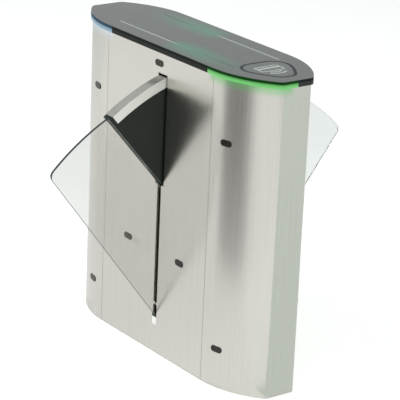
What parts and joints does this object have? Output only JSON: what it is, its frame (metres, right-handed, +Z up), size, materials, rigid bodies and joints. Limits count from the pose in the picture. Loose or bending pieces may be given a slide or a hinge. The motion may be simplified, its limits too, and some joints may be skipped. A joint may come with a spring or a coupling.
{
  "type": "retracting flap barrier",
  "caption": "Steel pedestrian gate cabinet with rounded ends and a dark glass top; clear flaps under black hoods swing out of slots in both long sides to bar the lanes.",
  "frame": {"origin": "middle of the base on the floor", "axes": "+X along the cabinet, -Y towards the near lane, +Z up"},
  "size_m": [0.9968, 1.0668, 1],
  "materials": {
    "brushed_steel": "satin brushed",
    "hood_steel": "satin brushed",
    "hood_black": "semi-gloss",
    "frame_steel": "matt",
    "machined_steel": "machined",
    "motor_paint": "satin",
    "black_trim": "satin",
    "diffuser_green": "frosted",
    "diffuser_blue": "frosted",
    "diffuser_dark": "frosted",
    "top_glass": "polished",
    "light_line": "frosted",
    "reader_ring": "gloss",
    "slot_guide": "satin",
    "flap_clear": "polished",
    "electrics": "matt",
    "sensor": "gloss"
  },
  "bodies": {
    "cabinet": {"near_panel": "brushed_steel", "far_panel": "brushed_steel", "right_cover": "brushed_steel", "left_cover": "brushed_steel", "base_plate": "frame_steel", "near_right_post": "frame_steel", "far_right_post": "frame_steel", "near_left_post": "frame_steel", "far_left_post": "frame_steel", "right_beam": "frame_steel", "left_beam": "frame_steel", "top_deck": "frame_steel", "near_bearing_plate": "frame_steel", "far_bearing_plate": "frame_steel", "pivot_shaft": "machined_steel", "near_motor": "motor_paint", "far_motor": "motor_paint", "near_trim": "black_trim", "far_trim": "black_trim", "light_tray": "black_trim", "near_right_diffuser": "diffuser_green", "near_left_diffuser": "diffuser_blue", "far_left_diffuser": "diffuser_dark", "far_right_diffuser": "diffuser_dark", "top_glass": "top_glass", "near_light_line": "light_line", "far_light_line": "light_line", "reader_ring": "reader_ring", "near_slot_guide": "slot_guide", "far_slot_guide": "slot_guide", "control_unit": "electrics", "power_supply": "electrics", "far_left_sensor": "sensor", "far_right_sensor": "sensor", "far_top_sensor": "sensor", "left_far_lower_sensor": "sensor", "left_far_upper_sensor": "sensor", "left_near_lower_sensor": "sensor", "left_near_upper_sensor": "sensor", "near_left_sensor": "sensor", "near_right_sensor": "sensor", "near_top_sensor": "sensor", "right_far_lower_sensor": "sensor", "right_far_upper_sensor": "sensor", "right_near_lower_sensor": "sensor", "right_near_upper_sensor": "sensor"},
    "near_flap": {"near_flap_panel": "flap_clear", "near_flap_hub": "machined_steel"},
    "near_hood": {"near_hood_cap": "hood_steel", "near_hood_front": "hood_black", "near_hood_back": "hood_black"},
    "near_drive": {"near_drive_shaft": "machined_steel"},
    "far_flap": {"far_flap_panel": "flap_clear", "far_flap_hub": "machined_steel"},
    "far_hood": {"far_hood_cap": "hood_steel", "far_hood_front": "hood_black", "far_hood_back": "hood_black"},
    "far_drive": {"far_drive_shaft": "machined_steel"}
  },
  "joints": [
    {"name": "near_flap_swing", "type": "hinge", "parent": "cabinet", "child": "near_flap", "pos_m": [0.021, 0, 0.13], "axis": [-1, 0, 0], "range_deg": [0, 35.5]},
    {"name": "near_hood_swing", "type": "hinge", "parent": "cabinet", "child": "near_hood", "pos_m": [0.021, 0, 0.13], "axis": [-1, 0, 0], "range_deg": [0, 17.75]},
    {"name": "near_drive_turn", "type": "hinge", "parent": "cabinet", "child": "near_drive", "pos_m": [-0.018, 0, 0.07], "axis": [-1, 0, 0], "range_deg": [-35.5, 0]},
    {"name": "far_flap_swing", "type": "hinge", "parent": "cabinet", "child": "far_flap", "pos_m": [0.063, 0, 0.13], "axis": [1, 0, 0], "range_deg": [0, 35.5]},
    {"name": "far_hood_swing", "type": "hinge", "parent": "cabinet", "child": "far_hood", "pos_m": [0.063, 0, 0.13], "axis": [1, 0, 0], "range_deg": [0, 17.75]},
    {"name": "far_drive_turn", "type": "hinge", "parent": "cabinet", "child": "far_drive", "pos_m": [0.102, 0, 0.07], "axis": [1, 0, 0], "range_deg": [-35.5, 0]}
  ],
  "couplings": [
    {"joint": "near_hood_swing", "follows": "near_flap_swing", "ratio": 0.5},
    {"joint": "near_drive_turn", "follows": "near_flap_swing", "ratio": -1},
    {"joint": "far_hood_swing", "follows": "far_flap_swing", "ratio": 0.5},
    {"joint": "far_drive_turn", "follows": "far_flap_swing", "ratio": -1}
  ]
}
